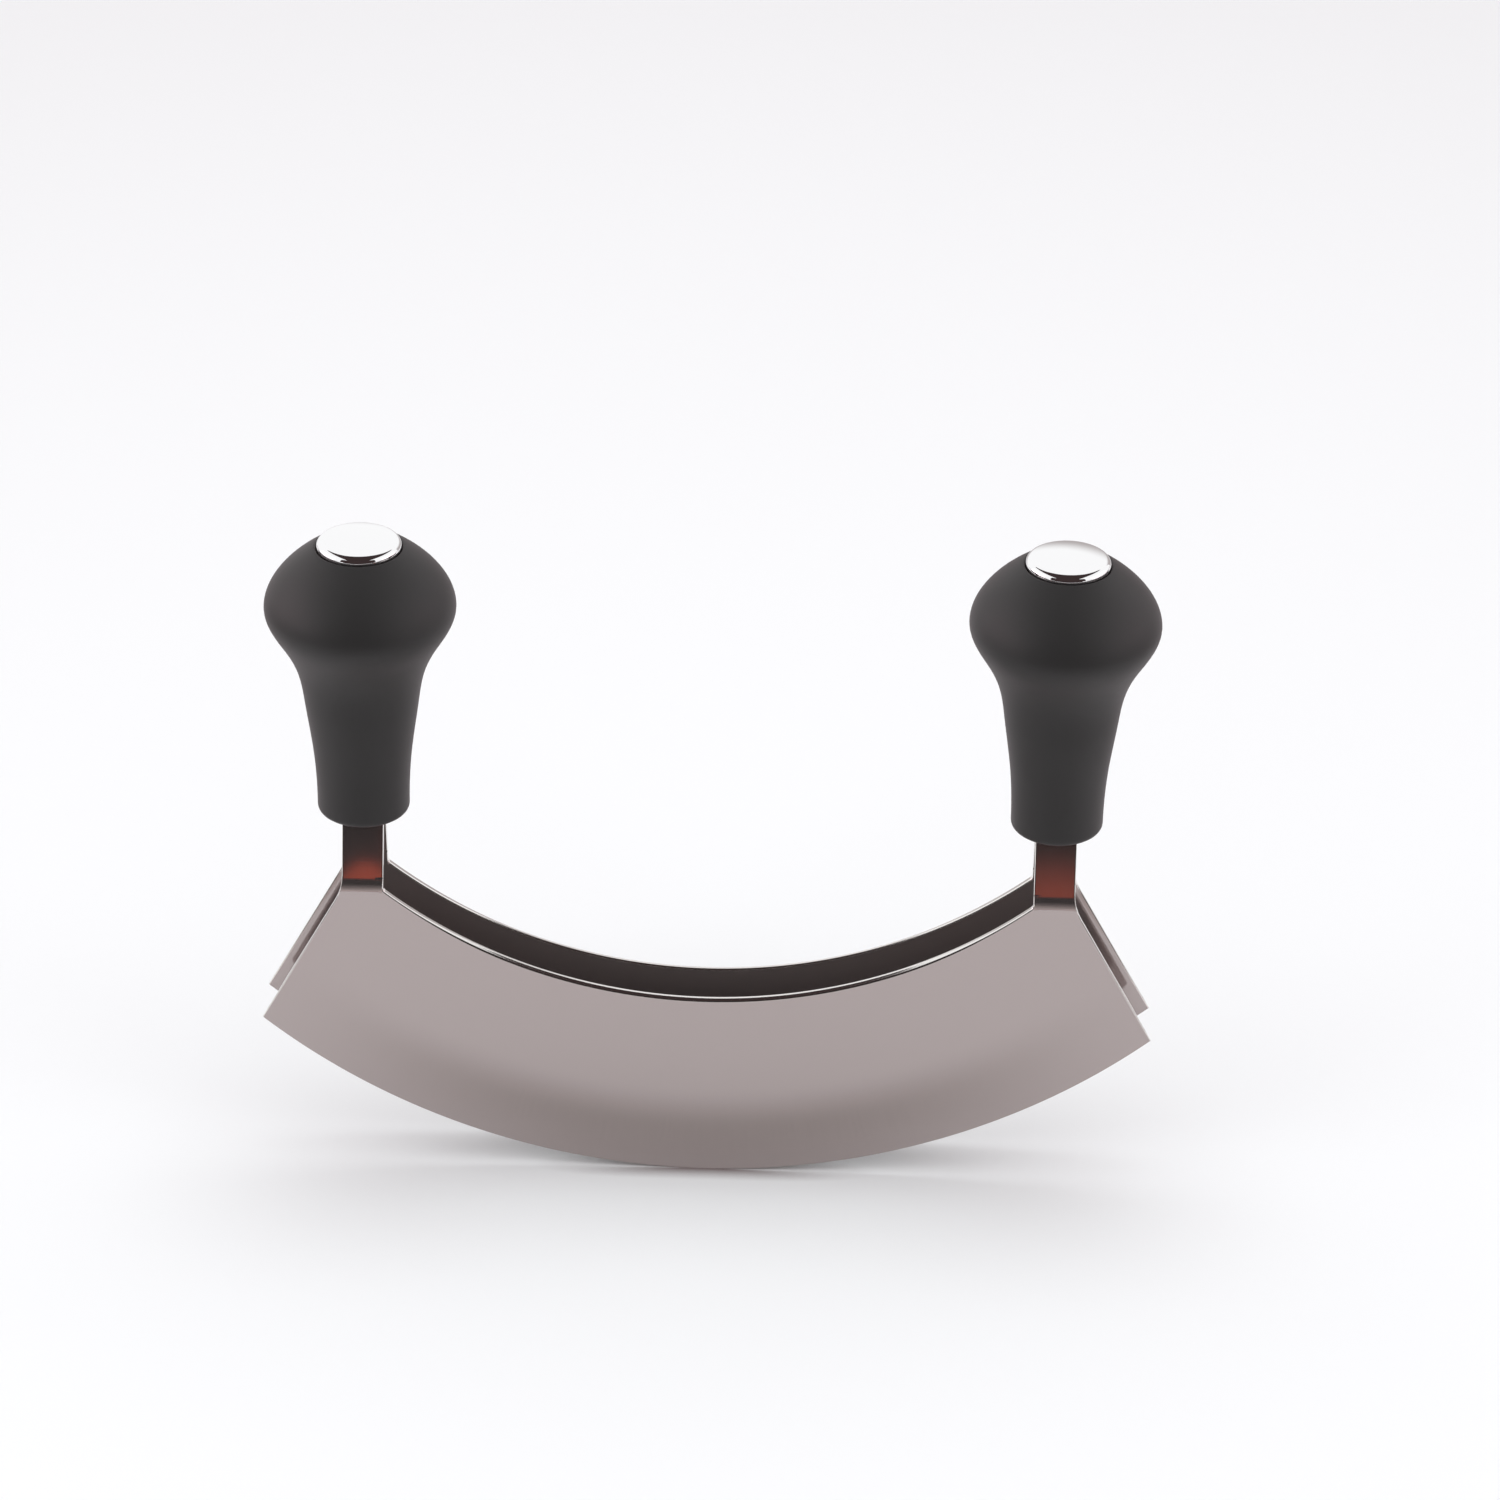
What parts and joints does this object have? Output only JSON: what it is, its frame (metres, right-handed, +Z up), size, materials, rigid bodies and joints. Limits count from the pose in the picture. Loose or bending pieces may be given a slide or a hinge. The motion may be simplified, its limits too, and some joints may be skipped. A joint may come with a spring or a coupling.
{
  "type": "mezzaluna",
  "caption": "Double-bladed mezzaluna: parallel crescent steel blades whose tangs meet in upright black bulb handles with polished domed caps.",
  "frame": {"origin": "on the board under the middle of the tool, level with the lowest points of both cutting edges", "axes": "+X along the blades towards the right handle, +Y across the blades from the front blade to the rear blade, +Z up along the handles"},
  "size_m": [0.2, 0.042, 0.156],
  "materials": {
    "blade_steel": "satin, fine ground, with a soft taper along the cutting edge",
    "grip_rubber": "matte soft touch",
    "core_plastic": "moulded, matte",
    "stud_steel": "machined",
    "rivet_steel": "pressed flush",
    "washer_steel": "zinc plated",
    "spring_steel": "dark spring steel",
    "nut_steel": "zinc plated",
    "seal_rubber": "matte",
    "cap_chrome": "mirror polished"
  },
  "bodies": {
    "root": {"front_blade": "blade_steel", "rear_blade": "blade_steel", "left_grip": "grip_rubber", "left_handle_core": "core_plastic", "left_tang_stud": "stud_steel", "left_tang_rivets": "rivet_steel", "left_flat_washer": "washer_steel", "left_lock_washer": "spring_steel", "left_hex_nut": "nut_steel", "left_cap_seal": "seal_rubber", "left_end_cap": "cap_chrome", "right_grip": "grip_rubber", "right_handle_core": "core_plastic", "right_tang_stud": "stud_steel", "right_tang_rivets": "rivet_steel", "right_flat_washer": "washer_steel", "right_lock_washer": "spring_steel", "right_hex_nut": "nut_steel", "right_cap_seal": "seal_rubber", "right_end_cap": "cap_chrome"}
  },
  "joints": []
}
